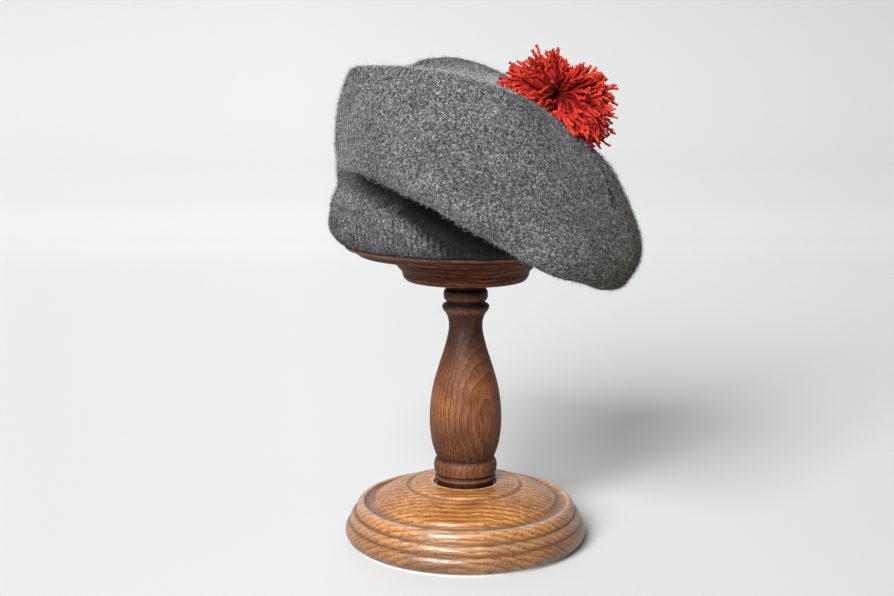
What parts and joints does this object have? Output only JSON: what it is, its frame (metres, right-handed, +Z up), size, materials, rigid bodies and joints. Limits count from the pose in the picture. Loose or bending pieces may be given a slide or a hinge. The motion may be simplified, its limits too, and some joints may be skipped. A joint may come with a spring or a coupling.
{
  "type": "tam o shanter on a hat stand",
  "caption": "Soft fulled-wool tam o' shanter, its wide crown pulled down to one side, with a ribbed band and a large pompom, resting on a turned wooden hat stand.",
  "frame": {"origin": "on the stand's axis, at the underside of its foot pad, on the surface that it stands on", "axes": "+Z up along the stand's axis; the hat's front faces -Y, and its crown is pulled down towards +X"},
  "size_m": [0.2098, 0.2505, 0.3385],
  "materials": {
    "pad_felt": "thin pale felt, matt",
    "oak_light": "golden brown oak, satin lacquer",
    "oak_dark": "darker red-brown oak, satin lacquer",
    "grey_wool": "heathered grey fulled wool knit, hairy and matt",
    "red_wool": "bright red wool yarn, matt"
  },
  "bodies": {
    "root": {"foot_pad": "pad_felt", "stand_base": "oak_light", "stand_column": "oak_dark", "stand_plate": "oak_dark", "hat_band": "grey_wool", "hat_crown": "grey_wool", "pompom": "red_wool"}
  },
  "joints": []
}
